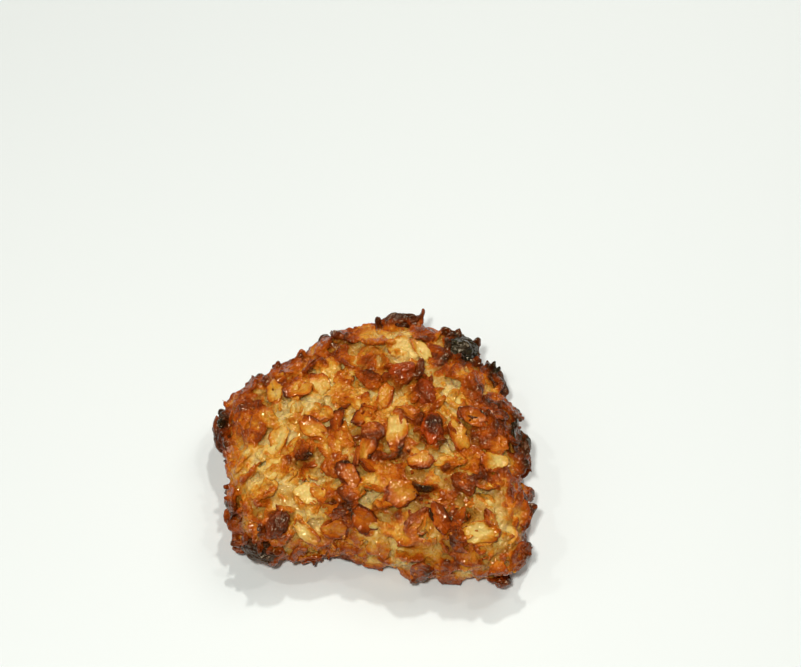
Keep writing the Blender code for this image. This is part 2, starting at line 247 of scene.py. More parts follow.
# name, place in metres, size in metres, watts, and whether its reflection shows
LAMPS = (
    ("flash", (-0.06, -0.24, 0.52), 0.05, 1.771, True),
    ("glint_back", (0.12, 0.43, 0.74), 0.05, 2.156, True),
    ("glint_left", (-0.42, 0.12, 0.74), 0.035, 0.462, True),
    ("glint_right", (0.36, 0.20, 0.78), 0.035, 0.462, True),
    ("window", (0.5, 0.4, 0.75), 0.5, 1.925, False),
    ("fill", (-0.7, -0.2, 0.6), 0.8, 1.001, False),
)
FLOOR_SIDE, FLOOR_STEPS = 3.0, 8
FLOOR_LOW = 0.05 * MM

# Colours from pale to burnt, in sRGB
CRUST_STOPS = (
    (0.00, (226, 192, 114)),
    (0.16, (210, 147, 47)),
    (0.32, (190, 101, 16)),
    (0.46, (162, 69, 8)),
    (0.60, (124, 48, 6)),
    (0.74, (86, 33, 6)),
    (0.88, (52, 27, 9)),
    (1.00, (33, 27, 13)),
)

DOUGH_STOPS = (
    (0.00, (220, 194, 130)),
    (0.18, (194, 152, 76)),
    (0.36, (172, 116, 37)),
    (0.54, (136, 70, 14)),
    (0.70, (94, 41, 9)),
    (0.86, (56, 30, 10)),
    (1.00, (33, 27, 13)),
)

BURNT_SPECK = (96, 44, 14)
SYRUP_TINT, RAISIN_TINT = (1.0, 0.84, 0.6, 1.0), (1.0, 0.86, 0.66, 1.0)

# Raisin skin: on the ridges, in the folds and where it is burnt, each for a black and a red raisin
BLACK_RIDGE, BLACK_FOLD = (46, 40, 24), (22, 18, 11)
RED_RIDGE, RED_FOLD = (178, 66, 6), (108, 34, 5)
BURNT_SKIN = (46, 24, 12)

# share is how far the browning around the flake counts for it
Flake = namedtuple("Flake", "middle facing along length width cup brown share")


# The crumb's surface


def rim_radius(theta):
    """Radius of the crumb at a compass angle, on a smooth closed curve through RIM_MM."""
    step = math.tau / len(RIM_MM)
    place = (theta % math.tau) / step
    i = int(place)
    t = place - i
    a, b, c, d = (RIM_MM[(i + k) % len(RIM_MM)] for k in (-1, 0, 1, 2))
    curve = b + 0.5 * t * (c - a + t * (2 * a - 5 * b + 4 * c - d + t * (3 * (b - c) + d - a)))
    return curve * MM


def clump_rise(x, y):
    """How far the clumps and hollows lift that place of the top."""
    rise = 0.0
    for cx, cy, reach, height in CLUMPS_MM:
        away = ((x / MM - cx) ** 2 + (y / MM - cy) ** 2) / reach**2
        rise += height * MM * math.exp(-away)
    return rise


def crumb_point(theta, climb):
    """A point of the crumb: climb is -1 under the foot, 0 at the belly and 1 in the middle of the top."""
    power = TOP_ROUNDNESS if climb >= 0 else FOOT_ROUNDNESS
    reach = THICKNESS - BELLY if climb >= 0 else FOOT_DEPTH
    angle = climb * math.pi / 2
    out = rim_radius(theta) * abs(math.cos(angle)) ** (2 / power)
    up = reach * math.copysign(abs(math.sin(angle)) ** (2 / power), climb)
    point = Vector((out * math.cos(theta), out * math.sin(theta), BELLY + up))
    crag = CRAG_RISE * noise.noise(point / CRAG_SIZE + CRUMB_SEED_POINT)
    outward = Vector((math.cos(theta) * math.cos(angle), math.sin(theta) * math.cos(angle), math.sin(angle)))
    point += outward * crag
    if climb > 0:
        point.z += clump_rise(point.x, point.y) * math.sin(angle)
    return point


def crumb_facing(theta, climb):
    """The crumb's point there, and the direction that its surface faces."""
    step = 0.02
    middle = crumb_point(theta, climb)
    across = crumb_point(theta + step, climb) - crumb_point(theta - step, climb)
    upward = crumb_point(theta, min(climb + step, 0.999)) - crumb_point(theta, climb - step)
    return middle, across.cross(upward).normalized()


def climb_at(theta, radius):
    """The climb at which the smooth top has that radius."""
    share = min(radius / rim_radius(theta), 1.0)
    return math.acos(share ** (TOP_ROUNDNESS / 2)) / (math.pi / 2)


# The flakes, where the solid has them


def leaning(facing, front, right):
    """The facing turned towards the front (-Y) and towards the right (+X), in degrees."""
    turn = Matrix.Rotation(math.radians(front), 3, "X") @ Matrix.Rotation(math.radians(right), 3, "Y")
    return (turn @ facing).normalized()


def shown_flakes():
    """The flakes that stand out in the crust, each where the photograph shows it."""
    flakes = []
    for x, y, heading, length, width, front, right, lift, brown in SHOWN_FLAKES_MM:
        theta = math.atan2(y, x)
        middle, facing = crumb_facing(theta, climb_at(theta, math.hypot(x, y) * MM))
        facing = leaning((facing + Vector((0, 0, 1))).normalized(), front, right)
        turned = math.radians(heading)
        along = Vector((math.cos(turned), math.sin(turned), 0))
        middle = middle + facing * lift * MM
        brown = 0.8 * brown - 0.10
        flakes.append(Flake(middle, facing, along, length * MM, width * MM, SHOWN_CUP, brown, SHOWN_SHARE))
    return flakes


def scattered_places():
    """Where the other flakes go: a sunflower spiral over the top, then staggered courses round the side."""
    for k in range(TOP_FLAKES):
        theta = k * GOLDEN_ANGLE
        yield theta, climb_at(theta, 0.95 * rim_radius(theta) * math.sqrt((k + 0.5) / TOP_FLAKES)), False
    for course, (climb, count) in enumerate(SIDE_COURSES):
        for k in range(count):
            yield math.tau * (k + 0.5 * (course % 2)) / count, climb, True


def scattered_flakes(shown):
    """Flakes strewn by rule with a seeded draw, none on top of a shown one."""
    draw = random.Random(FLAKE_SEED)
    shade = random.Random(5)
    flakes = []
    for theta, climb, on_side in scattered_places():
        theta += draw.uniform(-0.05, 0.05)
        climb += draw.uniform(-0.03, 0.03)
        length = draw.uniform(6.4, 9.6) * MM
        width = length * draw.uniform(0.62, 0.8)
        turned = draw.uniform(0, math.tau)
        lean = math.radians(abs(draw.gauss(0, 21)) + (draw.uniform(20, 42) if draw.random() < 0.16 else 0))
        lift = draw.uniform(-0.1, 0.5) * MM
        cup = draw.uniform(-0.5, 0.9) * MM
        if on_side:
            lean *= SIDE_LEAN
        middle, facing = crumb_facing(theta, climb)
        across = facing.orthogonal().normalized()
        axis = Matrix.Rotation(turned, 3, facing) @ across
        facing = Matrix.Rotation(lean, 3, axis) @ facing
        along = Matrix.Rotation(draw.uniform(0, math.tau), 3, facing) @ facing.orthogonal().normalized()
        if on_side and draw.random() < SHELF_SHARE:
            along = facing.cross(Vector((0, 0, 1))).normalized()
            facing = Matrix.Rotation(math.radians(draw.uniform(38, 74)), 3, along) @ facing
            middle = middle - facing.cross(along) * SHELF_SUNK
        middle = middle + facing * lift
        brown = shade.uniform(-0.10, 0.16)
        if all((middle - other.middle).length > CLEAR_OF_SHOWN for other in shown):
            flakes.append(Flake(middle, facing, along, length, width, cup, brown, 1.0))
    return flakes


def axes_of(flake):
    """Rows along the flake's length, its width and the way it faces."""
    across = flake.facing.cross(flake.along).normalized()
    along = across.cross(flake.facing).normalized()
    return np.array((along, across, flake.facing))


def raisin_matrix(row):
    """Where a raisin lies: sunk into the crumb, with its length along its heading."""
    _, x, y, _, _, height, heading, sunk = row[:8]
    theta = math.atan2(y, x)
    middle, facing = crumb_facing(theta, climb_at(theta, math.hypot(x, y) * MM))
    turned = math.radians(heading)
    along = Vector((math.cos(turned), math.sin(turned), 0))
    across = facing.cross(along).normalized()
    along = across.cross(facing).normalized()
    axes = Matrix((along, across, facing)).transposed().to_4x4()
    return Matrix.Translation(middle + facing * height * MM * (0.5 - sunk)) @ axes


def clear_of_raisins(flake):
    """True if the flake's plate stays off every raisin."""
    for row in RAISINS:
        local = raisin_matrix(row).inverted() @ flake.middle
        half = Vector(row[3:6]) * MM / 2 + Vector((1, 1, 1)) * (CLEAR_OF_RAISIN + flake.width / 4)
        if (local.x / half.x) ** 2 + (local.y / half.y) ** 2 + (local.z / half.z) ** 2 < 1:
            return False
    return True


# Lumpiness and browning, worked out for whole arrays of points


def lattice(cells, seed):
    """A fixed value from -1 to 1 for every corner of a grid."""
    mixed = cells[:, 0] * 374761393 + cells[:, 1] * 668265263 + cells[:, 2] * 1274126177 + seed * 974634779
    mixed = (mixed ^ (mixed >> 13)) * 1274126177
    mixed = mixed ^ (mixed >> 16)
    return (mixed & 0xFFFFFF) / 0x7FFFFF - 1.0


def lumps(points, size, seed=0):
    """Smooth lumps of about that size, from -1 to 1."""
    places = points / size
    corner = np.floor(places).astype(np.int64)
    share = places - corner
    share = share * share * (3 - 2 * share)
    total = np.zeros(len(points))
    for step in np.ndindex(2, 2, 2):
        weight = np.prod(np.where(np.array(step) == 1, share, 1 - share), axis=1)
        total += weight * lattice(corner + np.array(step), seed)
    return total


def browning(points):
    """How brown each point of the crust is, from the oven's browning and from painted shade in one hollow: 0
    is pale, 1 is burnt.
    """
    mm = points / MM
    brown = np.full(len(points), BROWN_MEAN)
    for size, strength, seed in BROWN_LUMPS_MM:
        brown += strength * lumps(points, size * MM, seed)
    radius = np.hypot(mm[:, 0], mm[:, 1])
    brown += RIM_BROWN * np.clip((radius - 27) / 10, 0, 1)
    brown += FOOT_BROWN * np.clip((6 - mm[:, 2]) / 6, 0, 1)
    for x, y, z, reach, darker in SCORCHES_AND_SHADE_MM:
        away = ((mm - np.array((x, y, z))) ** 2).sum(axis=1) / reach**2
        brown += darker * np.exp(-away)
    return np.minimum(brown, BROWN_MOST)


def baked(points, core_tree):
    """The browning of each point of the crust; what stands out of the crumb browns first."""
    heights = []
    for point in points.tolist():
        near, facing, _, _ = core_tree.find_nearest(point)
        heights.append((Vector(point) - near).dot(facing))
    proud = np.array(heights) / MM
    return browning(points) + PROUD_BROWN * (np.clip(proud, -1, 3) - 1)


# Meshes from arrays


class Cloud:
    """Many closed bits joined in one mesh, with values kept for each of their points."""

    def __init__(self):
        self.points, self.faces = [], []
        self.values = {}
        self.count = 0

    def add(self, points, faces, **values):
        self.points.append(points)
        self.faces.append(faces + self.count)
        self.count += len(points)
        for name, value in values.items():
            each = value if np.ndim(value) else np.full(len(points), value)
            self.values.setdefault(name, []).append(each)

    def build(self, name):
        points = np.concatenate(self.points)
        faces = np.concatenate(self.faces)
        values = {key: np.concatenate(parts) for key, parts in self.values.items()}
        return mesh_object(name, points, faces, values)


def mesh_object(name, points, faces, values, boxed=True):
    """A mesh from arrays, kept inside the solids' box, with the values as attributes of its points."""
    if boxed:
        points = np.clip(points, np.array(cad_box[0]) + BOX_MARGIN, np.array(cad_box[1]) - BOX_MARGIN)
    mesh = bpy.data.meshes.new(name)
    mesh.vertices.add(len(points))
    mesh.vertices.foreach_set("co", points.astype(np.float32).ravel())
    width = faces.shape[1]
    mesh.loops.add(faces.size)
    mesh.loops.foreach_set("vertex_index", faces.astype(np.int32).ravel())
    mesh.polygons.add(len(faces))
    mesh.polygons.foreach_set("loop_start", np.arange(0, faces.size, width, dtype=np.int32))
    mesh.polygons.foreach_set("loop_total", np.full(len(faces), width, dtype=np.int32))
    mesh.update(calc_edges=True)
    mesh.shade_smooth()
    for key, value in values.items():
        kind = "FLOAT_VECTOR" if value.ndim == 2 else "FLOAT"
        layer = mesh.attributes.new(key, kind, "POINT")
        layer.data.foreach_set("vector" if value.ndim == 2 else "value", value.astype(np.float32).ravel())
    made = bpy.data.objects.new(name, mesh)
    bpy.context.scene.collection.objects.link(made)
    return made


def arrays_of(mesh):
    """The mesh's points and its faces as triangles."""
    mesh.calc_loop_triangles()
    points = np.empty(len(mesh.vertices) * 3, dtype=np.float32)
    mesh.vertices.foreach_get("co", points)
    faces = np.empty(len(mesh.loop_triangles) * 3, dtype=np.int32)
    mesh.loop_triangles.foreach_get("vertices", faces)
    return points.reshape(-1, 3).astype(float), faces.reshape(-1, 3)


def wheel(around, rings):
    """Faces of a disc with a top and an underside, each of that many rings round a middle point."""
    faces = []
    total = 2 + around * rings
    for k in range(around):
        n = (k + 1) % around
        faces.append((0, 1 + k, 1 + n))
        for ring in range(rings - 1):
            a, b = 1 + ring * around, 1 + (ring + 1) * around
            faces.append((a + k, b + k, b + n))
            faces.append((a + k, b + n, a + n))
        last = 1 + (rings - 1) * around
        faces.append((last + k, total - 1, last + n))
    return np.array(faces)


def cupped(flake, u, v):
    """How far a cupped flake rises at u along and v across, each from -1 to 1."""
    return flake.cup * (v * v * 0.9 + u * u * 0.35 - 0.45)


class FlakePattern:
    """One flake's rings: over the top to the edge, and back under."""

    def __init__(self, around, radii_top, radii_under):
        self.radii = np.array(radii_top + radii_under)
        self.top = len(radii_top)
        self.around = around
        self.faces = wheel(around, len(self.radii))

    def flake(self, flake, draw, thick, ragged, size=1.0):
        """Points of one flake, the same in its own frame, and how brown its one side makes each."""
        turn = np.arange(self.around) / self.around * math.tau
        phase = draw.uniform(0, math.tau, 5)
        waves = 0.5 * np.sin(2 * turn + phase[0]) + 0.5 * np.sin(3 * turn + phase[1])
        waves += 0.4 * np.sin(5 * turn + phase[2])
        outline = 1 + ragged * waves
        outline += ragged * 0.35 * draw.uniform(-1, 1, self.around)
        if draw.random() < SPLIT_SHARE:
            away = (turn - draw.uniform(0, math.tau) + math.pi) % math.tau - math.pi
            outline -= draw.uniform(0.08, 0.3) * np.exp(-((away / 0.12) ** 2))
        outline /= max(1.0, outline.max())
        u = np.concatenate(([0], (self.radii[:, None] * np.cos(turn) * outline).ravel(), [0])) * size
        v = np.concatenate(([0], (self.radii[:, None] * np.sin(turn) * outline).ravel(), [0])) * size
        near = np.concatenate(([0], np.repeat(self.radii, self.around), [0]))
        over = np.where(np.arange(len(self.radii)) < self.top, 1.0, -1.0)
        side = np.concatenate(([1], np.repeat(over, self.around), [-1]))
        swell = np.sqrt(np.clip(1.02 - near**7, 0.02, 1))
        bend = cupped(flake, u, v)
        bend += 0.25 * MM * np.sin(2.4 * u + phase[3]) * np.cos(2.8 * v + phase[0])
        groove = np.exp(-(((v - 0.1 * np.sin(3 * u + phase[1])) / 0.13) ** 2))
        crease = -0.22 * MM * groove * (side > 0) * (1 - near**2)
        height = bend + side * thick / 2 * swell + crease
        local = np.stack((u * flake.length / 2, v * flake.width / 2, height), axis=1)
        local[:, 2] += 0.28 * MM * lumps(local + draw.uniform(0, 1), 1.7 * MM, 8)
        local[:, 2] += 0.16 * MM * lumps(local + draw.uniform(0, 1), 0.75 * MM, 8)
        toward = u * math.cos(phase[4]) + 0.6 * v * math.sin(phase[4])
        tip = draw.uniform(0.0, 0.4) + 0.3 * (flake.share < 1)
        browner = tip * np.clip((toward + 0.2) / 1.2, 0, 1) ** 1.6 + 0.20 * near**4 - 0.12
        return local @ axes_of(flake) + np.array(flake.middle), local, browner


# The pieces


def crumb_core():
    """The crumb's own form, a little inside the solid, as points and triangles."""
    around, rings = 150, 60
    points = [crumb_point(0, 1) - Vector((0, 0, CRUMB_SUNK))]
    for ring in range(rings):
        climb = 1 - (ring + 1) / (rings + 1) * CRUMB_REACH
        for k in range(around):
            theta = k / around * math.tau
            point = crumb_point(theta, climb)
            point.xy *= 1 - CRUMB_SUNK / max(point.xy.length, 8 * MM)
            point.z = max(point.z - CRUMB_SUNK * max(climb, 0), UNDERSIDE)
            points.append(point)
    points.append(Vector((0, 0, UNDERSIDE)))
    return np.array(points), wheel(around, rings)


def relax(points, edges, times, strength):
    """Smooths points towards the mean of their neighbours."""
    count = np.bincount(edges.ravel(), minlength=len(points))[:, None]
    for _ in range(times):
        total = np.zeros_like(points)
        for axis in range(3):
            total[:, axis] = np.bincount(edges[:, 0], points[edges[:, 1], axis], len(points))
            total[:, axis] += np.bincount(edges[:, 1], points[edges[:, 0], axis], len(points))
        points = points + strength * (total / count - points)
    return points


def nuggets(tree):
    """Angular lumps of oat and dough of a few millimetres, that make the crust knobbly."""
    draw = np.random.default_rng(51)
    knobs = []
    for place, facing in scattered_on(tree, KNOBS, 14, 0.5 * MM):
        half = np.array((draw.uniform(1.1, 2.6), draw.uniform(0.6, 1.3), draw.uniform(0.35, 0.8))) * MM
        turn, _ = np.linalg.qr(draw.normal(size=(3, 3)))
        middle = np.array(place) - np.array(facing) * draw.uniform(0.2, 0.9) * MM
        knobs.append((middle, half, turn, draw.uniform(-0.08, 0.1)))
    for row in RAISINS:
        matrix = np.array(raisin_matrix(row))
        for k in range(KNOBS_ROUND_RAISIN):
            around = k / KNOBS_ROUND_RAISIN * math.tau + draw.uniform(-0.2, 0.2)
            rim = np.array((math.cos(around) * row[3], math.sin(around) * row[4], 0.0)) * MM / 2 * 1.06
            rim[2] = draw.uniform(-1.0, 0.8) * MM
            middle = matrix[:3, :3] @ rim + matrix[:3, 3]
            half = np.array((draw.uniform(1.2, 2.4), draw.uniform(0.7, 1.3), draw.uniform(0.4, 0.9))) * MM
            turn, _ = np.linalg.qr(draw.normal(size=(3, 3)))
            knobs.append((middle, half, turn, draw.uniform(0.0, 0.16)))
    return knobs


def fused_bits(flakes, broken, knobs):
    """The dough, the flakes and the knobs as closed bodies that overlap."""
    bits = Cloud()
    core, faces = crumb_core()
    bits.add(core, faces, brown=0.0, dough=1.0)
    pattern = FlakePattern(18, (0.5, 0.85), (0.85, 0.5))
    draw = np.random.default_rng(11)
    for flake in flakes + broken:
        melted = draw.random() < MELTED_SHARE and flake.share == 1.0
        size = 1.05 if melted else draw.uniform(0.92, 1.06)
        deep = draw.uniform(*MELTED_DEEP) if melted else draw.uniform(*FIRM_DEEP)
        points, _, _ = pattern.flake(flake, draw, 0.95 * FLAKE_THICK, 0.0, size)
        points -= np.array(flake.facing) * deep * MM
        bits.add(points, pattern.faces, brown=flake.brown, dough=0.2)
    ball, ball_faces = crumb_ball()
    for middle, half, turn, brown in knobs:
        shape = ball * (1 + 0.5 * lumps(ball * 1.1 + middle / MM, 1.0, 5))[:, None]
        bits.add((shape * half) @ turn + middle, ball_faces, brown=brown, dough=0.5)
    return bits


def skin_over(bits):
    """One skin of small faces over all the bits: its points, edges and triangles."""
    rough = bits.build("crumb_rough")
    net = rough.modifiers.new("net", "REMESH")
    net.mode = "VOXEL"
    net.voxel_size = VOXEL
    graph = bpy.context.evaluated_depsgraph_get()
    mesh = bpy.data.meshes.new_from_object(rough.evaluated_get(graph))
    bpy.data.objects.remove(rough)
    edges = np.empty(len(mesh.edges) * 2, dtype=np.int32)
    mesh.edges.foreach_get("vertices", edges)
    points, faces = arrays_of(mesh)
    return points, edges.reshape(-1, 2), faces


def knobbly(points, faces, dough):
    """The skin's points with the fine bumps and crinkles of baked dough, and the way each faced before."""
    directions = normals(points, faces)
    crinkle = 1 - 2 * np.abs(lumps(points, 1.3 * MM, 21))
    bumpy = 0.5 * lumps(points, 1.7 * MM, 1) + 0.35 * crinkle + 0.55 * lumps(points, 0.8 * MM, 2)
    points = points + directions * (bumpy * (0.3 + 0.4 * dough))[:, None] * MM
    return points - directions * pits(points)[:, None], directions


def crumb_mass(flakes, broken, knobs, core_tree):
    """The dough and the flakes fused in it: one skin that keeps each flake's colour where it shows."""
    bits = fused_bits(flakes, broken, knobs)
    tree = BVHTree.FromPolygons(np.concatenate(bits.points).tolist(), np.concatenate(bits.faces).tolist())
    corners = np.concatenate(bits.faces)[:, 0]
    brown_of = np.concatenate(bits.values["brown"])[corners]
    dough_of = np.concatenate(bits.values["dough"])[corners]
    points, edges, faces = skin_over(bits)
    source = np.array([tree.find_nearest(point)[2] for point in points.tolist()])
    points = relax(points, edges, 4, 0.5)
    points, directions = knobbly(points, faces, dough_of[source])
    points = pressed(points, [flake for flake in flakes if flake.share < 1])
    points[:, 2] = np.maximum(points[:, 2], UNDERSIDE)
    smooth = relax(points, edges, 54, 0.5)
    hollow = ((smooth - points) * directions).sum(axis=1) / (0.8 * MM)
    shades = np.stack((brown_of[source], dough_of[source], hollow), axis=1)
    brown, dough, hollow = relax(shades, edges, 3, 0.5).T
    brown = brown + baked(points, core_tree)
    # paler where sheltered, and darker in the deepest hollows as painted shade
    brown = brown - SHELTERED_PALE * np.clip(hollow, -1, 1) + PAINTED_HOLLOW_SHADE * np.clip(hollow - 1.0, 0, 1)
    return shared_out(points, faces, brown, np.clip(dough + 0.5 * hollow, 0, 1))


def shared_out(points, faces, brown, dough):
    """The skin as four pieces: the foot, and the left, the middle and the right above it."""
    below = points[faces, 2].mean(axis=1) < SEAM
    across = points[faces, 0].mean(axis=1)
    left, right = across < -THIRD, across > THIRD
    shares = (
        ("crumb_left", left & ~below),
        ("crumb_middle", ~left & ~right & ~below),
        ("crumb_right", right & ~below),
        ("crumb_foot", below),
    )
    pieces = []
    for name, chosen in shares:
        used, flat = np.unique(faces[chosen], return_inverse=True)
        values = {"brown": brown[used], "dough": dough[used], "share": np.ones(len(used))}
        pieces.append(mesh_object(name, points[used], flat.reshape(-1, 3), values))
    return pieces


def pressed(points, shown):
    """Keeps the dough under the flakes that stand out, so that none of it comes through them."""
    for flake in shown:
        local = (points - np.array(flake.middle)) @ axes_of(flake).T
        u, v = local[:, 0] / flake.length * 2, local[:, 1] / flake.width * 2
        out = u * u + v * v
        over = local[:, 2] - cupped(flake, u, v) + UNDER_SHOWN
        held = (out < 0.95) & (over > 0) & (over < 3 * MM)
        share = np.clip((0.95 - out[held]) / 0.2, 0, 1)
        points[held] -= (over[held] * share)[:, None] * np.array(flake.facing)
    return points


def pits(points):
    """Depth of the small dark holes between the clumps."""
    depth = np.zeros(len(points))
    for x, y, reach, deep in PITS_MM:
        away = ((points[:, 0] / MM - x) ** 2 + (points[:, 1] / MM - y) ** 2) / reach**2
        depth += np.where(points[:, 2] > BELLY, deep * MM * np.exp(-away), 0)
    return depth


def normals(points, faces):
    """The way the surface faces at each point."""
    a, b, c = (points[faces[:, k]] for k in range(3))
    flat = np.cross(b - a, c - a)
    total = np.zeros_like(points)
    for k in range(3):
        for axis in range(3):
            total[:, axis] += np.bincount(faces[:, k], flat[:, axis], len(points))
    return total / np.maximum(np.linalg.norm(total, axis=1), 1e-20)[:, None]


def flake_cloud(name, flakes, pattern, seed, thick, ragged, core_tree):
    """All the flakes of a list as one piece."""
    cloud = Cloud()
    draw = np.random.default_rng(seed)
    for flake in flakes:
        points, local, browner = pattern.flake(flake, draw, thick, ragged)
        local = local + draw.uniform(0, 0.5, 3)
        cloud.add(points, pattern.faces, brown=flake.brown + browner, grain=local, share=flake.share)
    around = baked(np.concatenate(cloud.points), core_tree)
    brown = np.concatenate(cloud.values["brown"]) + np.concatenate(cloud.values["share"]) * around
    cloud.values["brown"] = [brown]
    return cloud.build(name)


def scattered_on(tree, count, seed, low_z):
    """Points spread over what the tree holds, each with the way the surface faces."""
    draw = np.random.default_rng(seed)
    found = []
    middle = Vector((1 * MM, -1 * MM, 8 * MM))
    for k in range(count):
        height = 1 - (k + 0.5) / count * 1.5
        around = k * GOLDEN_ANGLE + draw.uniform(-0.1, 0.1)
        flat = math.sqrt(max(1 - height * height, 0))
        away = Vector((flat * math.cos(around) * 70, flat * math.sin(around) * 70, height * 45))
        start = middle + away * MM
        aim = middle + Vector((draw.uniform(-9, 9), draw.uniform(-9, 9), draw.uniform(-5, 3))) * MM
        target = aim + Vector((math.cos(around) * 18, math.sin(around) * 18, 0)) * MM * flat
        place, facing, _, _ = tree.ray_cast(start, (target - start).normalized())
        if place is not None and place.z > low_z:
            found.append((place, facing))
    return found


def fragments(tree, count, seed, lengths, widths, lean, roll, upward=-1.0, sunk=0.0):
    """Smaller and broken flakes strewn over what the tree holds; widths are shares of the length."""
    draw = random.Random(seed)
    bits = []
    for place, facing in scattered_on(tree, count, seed, 0.8 * MM):
        if facing.z < upward:
            continue
        tilt = Vector((draw.gauss(0, lean), draw.gauss(0, lean), draw.gauss(0, lean)))
        facing = (facing + tilt).normalized()
        turned = draw.uniform(0, math.tau)
        along = Matrix.Rotation(turned, 3, facing) @ facing.orthogonal().normalized()
        facing = Matrix.Rotation(draw.gauss(0, roll), 3, along) @ facing
        length = draw.uniform(*lengths) * MM
        width = length * draw.uniform(*widths)
        middle = place - facing * (sunk + draw.uniform(-0.15, 0.35)) * MM
        cup = draw.uniform(-0.3, 0.5) * MM
        bits.append(Flake(middle, facing, along, length, width, cup, draw.uniform(-0.08, 0.12), 1.0))
    return bits


def crumb_ball():
    """A small lump's points and faces, as a ball of radius 1."""
    shape = bpy.data.meshes.new("lump")
    bm = bmesh.new()
    bmesh.ops.create_icosphere(bm, subdivisions=2, radius=1.0)
    bm.to_mesh(shape)
    bm.free()
    return arrays_of(shape)


def loose_crumbs(tree, shown):
    """Crumbs and curls of oat bran, of about a millimetre, stuck on by the syrup."""
    ball, faces = crumb_ball()
    cloud = Cloud()
    draw = np.random.default_rng(41)
    for place, facing in scattered_on(tree, LOOSE_CRUMBS, 13, 0.6 * MM):
        if not off_shown(place, shown):
            continue
        size = draw.uniform(0.2, 0.55) * MM
        shape = ball * np.array((draw.uniform(0.8, 1.9), draw.uniform(0.6, 1.2), draw.uniform(0.35, 0.9)))
        shape = shape * (1 + 0.35 * lumps(ball * 1.3 + draw.uniform(0, 90), 1.0, 5))[:, None]
        turn, _ = np.linalg.qr(draw.normal(size=(3, 3)))
        points = shape @ turn * size + np.array(place)
        cloud.add(points, faces, brown=draw.uniform(-0.06, 0.16), grain=points, share=1.0)
    brown = np.concatenate(cloud.values["brown"]) + browning(np.concatenate(cloud.points))
    cloud.values["brown"] = [brown]
    return cloud.build("crumbs")


def underside_flakes():
    """Flakes that lay flat on the tray, in a layer that makes the underside."""
    draw = random.Random(17)
    flakes = []
    for k in range(UNDERSIDE_FLAKES):
        theta = k * GOLDEN_ANGLE
        radius = 0.92 * (rim_radius(theta) - 3 * MM) * math.sqrt((k + 0.5) / UNDERSIDE_FLAKES)
        middle = Vector((radius * math.cos(theta), radius * math.sin(theta), draw.uniform(0.30, 0.52) * MM))
        facing = Vector((draw.gauss(0, 0.02), draw.gauss(0, 0.02), -1)).normalized()
        turned = draw.uniform(0, math.tau)
        along = Vector((math.cos(turned), math.sin(turned), 0))
        length = draw.uniform(6.0, 9.5) * MM
        width = length * draw.uniform(0.6, 0.8)
        flakes.append(Flake(middle, facing, along, length, width, 0.0, draw.uniform(0.04, 0.2), 1.0))
    return flakes


def raisin_skin(row):
    """A shrivelled raisin in the solid's place, with soft folds, and burnt on top where it stood out."""
    name, _, _, length, width, height, _, _, red, creased, burnt = row
    around, rings = 80, 54
    half = np.array((length, width, height)) * MM / 2
    lean = np.arange(1, rings + 1) / (rings + 1) * math.pi
    turn = np.arange(around) / around * math.tau
    ball = np.stack(
        (
            np.repeat(np.cos(lean), around),
            (np.sin(lean)[:, None] * np.cos(turn)).ravel(),
            (np.sin(lean)[:, None] * np.sin(turn)).ravel(),
        ),
        axis=1,
    )
    ball = np.concatenate(([[1, 0, 0]], ball, [[-1, 0, 0]]))
    seed = Vector((length, width, height))
    fold = np.array([1 + RAISIN_WRINKLE * noise.noise(Vector(p) * 1.9 + seed) for p in ball])
    warp = 0.8 * np.stack([lumps(ball * 1.6 + width + k, 1.0, 6) for k in range(3)], axis=1)
    place = ball * np.array((0.9, 1.3, 1.3)) + length + warp
    ridge = 1 - np.abs(lumps(place, 0.62, 7))
    fine = 1 - np.abs(lumps(place * 1.7, 0.5, 9))
    facet = lumps(ball * 1.5 + height, 1.0, 12)
    dent = creased * (0.22 * ridge**4 + 0.08 * fine**3) + 0.12 * facet
    points = ball * half * (fold * (0.97 - dent))[:, None]
    matrix = np.array(raisin_matrix(row))
    points = points @ matrix[:3, :3].T + matrix[:3, 3]
    top = np.clip((ball[:, 2] + 0.5 * lumps(ball + width, 0.7, 15) - 0.25) / 0.6, 0, 1)
    values = {"red": np.full(len(ball), red), "fold": np.clip(dent / 0.2, 0, 1), "burnt": burnt * top}
    return mesh_object(name + "_skin", points, wheel(around, rings), values)


# Materials


def linear(rgb):
    """An sRGB colour, each part from 0 to 255, as linear light."""
    return tuple(((c / 255 + 0.055) / 1.055) ** 2.4 if c > 10 else c / 255 / 12.92 for c in rgb)


class Value:
    """A number, colour or vector in a material, for use in plain sums."""

    def __init__(self, shop, socket):
        self.shop, self.socket = shop, socket

    def math(self, operation, *others, clamp=False):
        settings = {"operation": operation, "use_clamp": clamp}
        return self.shop.node("ShaderNodeMath", settings, (self, *others))

    def __add__(self, other):
        return self.math("ADD", other)

    def __radd__(self, other):
        return self.math("ADD", other)

    def __sub__(self, other):
        return self.math("SUBTRACT", other)

    def __rsub__(self, other):
        return self.shop.node("ShaderNodeMath", {"operation": "SUBTRACT"}, (other, self))

    def __mul__(self, other):
        return self.math("MULTIPLY", other)

    def __rmul__(self, other):
        return self.math("MULTIPLY", other)

    def clamped(self):
        return self.math("ADD", 0.0, clamp=True)

    def band(self, low, high):
        """0 below low, 1 above high, and a smooth climb between."""
        settings = {"interpolation_type": "SMOOTHSTEP"}
        return self.shop.node("ShaderNodeMapRange", settings, (self, low, high, 0.0, 1.0))


